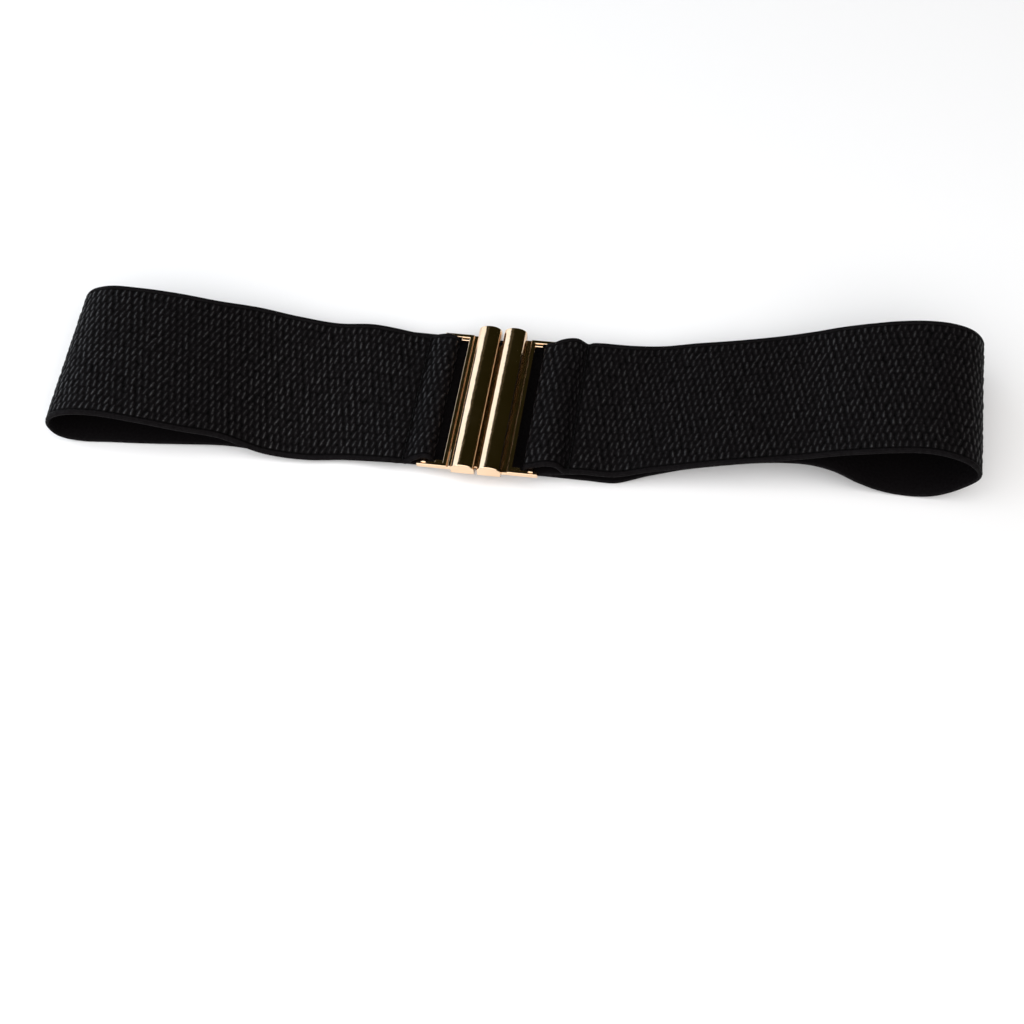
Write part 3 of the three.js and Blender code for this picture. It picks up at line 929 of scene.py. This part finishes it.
# %% [markdown]
# ## The gold
# It is a thin bright plating over a casting that isn't quite flat. A smooth mirror would look like
# plastic film, so a slow waver bends its reflections a little, fine lines lie along the bars where they
# were polished, and its colour and dullness vary in soft patches.

# %% Gold
GOLD_DEEP = (0.83, 0.6, 0.4)
GOLD_PALE = (0.89, 0.65, 0.45)
POLISH_STRETCH = (1, 0.06, 1)


def gold_material():
    """Light gold plate, polished but not quite even."""
    material, shader, node, link = new_material("light_gold_plate")
    where = node("ShaderNodeTexCoord")
    place = (where.outputs["Object"], "Vector")
    patches = node("ShaderNodeTexNoise", [place], Scale=120, Detail=4)
    colour = ramp(node, patches.outputs["Fac"], [(0.3, GOLD_DEEP), (0.7, GOLD_PALE)])
    link(colour.outputs["Color"], shader.inputs["Base Color"])
    dullness = {"To Min": 0.07, "To Max": 0.17}
    rough = node("ShaderNodeMapRange", [(patches.outputs["Fac"], "Value")], **dullness)
    link(rough.outputs["Result"], shader.inputs["Roughness"])
    waver = node("ShaderNodeTexNoise", [place], Scale=300, Detail=2)
    waver_bump = node(
        "ShaderNodeBump", [(waver.outputs["Fac"], "Height")], Strength=0.55, Distance=0.00016
    )
    stretched = node("ShaderNodeMapping", [place], Scale=POLISH_STRETCH)
    lines = node("ShaderNodeTexNoise", [(stretched.outputs["Vector"], "Vector")], Scale=5000, Detail=3)
    fine_bump = node(
        "ShaderNodeBump",
        [(lines.outputs["Fac"], "Height"), (waver_bump.outputs["Normal"], "Normal")],
        Strength=0.08,
        Distance=0.00002,
    )
    link(fine_bump.outputs["Normal"], shader.inputs["Normal"])
    shader.inputs["Metallic"].default_value = 1
    return material


# %% Give each piece its material
finishes = (
    (elastic_material(), (left_band, lower_band, right_band)),
    (thread_material(), (left_sewing, right_sewing)),
    (gold_material(), (left_half, right_half)),
)
for material, pieces in finishes:
    for piece in pieces:
        piece.data.materials.clear()
        piece.data.materials.append(material)
    print(material.name, "on", [piece.name for piece in pieces])

# %% [markdown]
# ## The flat lengths of the cloth
# Each stretch of the band is a strip of cloth, and its flat length is printed. It could be measured on
# the mesh, but the weave's relief would make it too long. So it is the length of the middle line, and the
# flat width is the full width.

# %% Flat sizes
print("flat lengths", [round(x, 1) for x in (left_turn, right_turn - left_turn, end - right_turn)], "mm")

# %% [markdown]
# ## The table and the light
# The belt lies on a plain white table. Lamps all round would flatten the metal, so three soft panels are
# used, as a photographer would. The large one on the left gives the bars their pale streak, the one above
# the near side lights the table evenly, and a dim one behind gives the thin warm line between the bars.
# The room around them is nearly black, because the gold mirrors it as its dark brown.

# %% Table
TABLE_HALF = 3
TABLE_WHITE = (0.9, 0.9, 0.9, 1)
TABLE_ROUGHNESS = 0.7
floor_mesh = bpy.data.meshes.new("table_top")
bm = bmesh.new()
bmesh.ops.create_grid(bm, x_segments=1, y_segments=1, size=TABLE_HALF)
bm.to_mesh(floor_mesh)
bm.free()
floor = bpy.data.objects.new("table_top", floor_mesh)
bpy.context.collection.objects.link(floor)
white = bpy.data.materials.new("white_table")
white.use_nodes = True
paint = white.node_tree.nodes["Principled BSDF"]
paint.inputs["Base Color"].default_value = TABLE_WHITE
paint.inputs["Roughness"].default_value = TABLE_ROUGHNESS
floor_mesh.materials.append(white)
print("table", 2 * TABLE_HALF, "m wide")

# %% Panels of light
# Name, middle, width and height, brightness, the point that it faces, colour
PANELS = (
    ("left_panel", (-1.1, 0.15, 0.61), (2.3, 1.22), 1.6, (0, 0.15, 0.61), (0.8, 0.9, 1)),
    ("near_panel", (0, -0.95, 1.6), (4.4, 2.8), 2.4, (0, 0.1, 0), (1, 0.985, 0.985)),
    ("dim_panel", (-1.07, 1.28, 1.5), (1.6, 0.55), 0.05, (0, 0, 0), (1, 0.93, 0.75)),
)


def panel(name, place, size, brightness, facing, colour):
    """A rectangular light of even brightness that faces a point."""
    lamp = bpy.data.lights.new(name, "AREA")
    lamp.shape = "RECTANGLE"
    lamp.size, lamp.size_y = size
    lamp.energy = brightness * math.pi * size[0] * size[1]
    lamp.color = colour
    holder = bpy.data.objects.new(name, lamp)
    bpy.context.collection.objects.link(holder)
    holder.location = place
    holder.rotation_euler = (Vector(facing) - Vector(place)).to_track_quat("-Z", "Y").to_euler()
    print(name, "at", place)


for each in PANELS:
    panel(*each)

# %% The dark room
ROOM_COLOUR = (0.0135, 0.0128, 0.003, 1)
world = bpy.data.worlds.new("studio")
bpy.context.scene.world = world
world.use_nodes = True
background = world.node_tree.nodes["Background"]
background.inputs["Color"].default_value = ROOM_COLOUR
background.inputs["Strength"].default_value = 1
bpy.context.scene.view_settings.view_transform = "Standard"
print("room", ROOM_COLOUR)
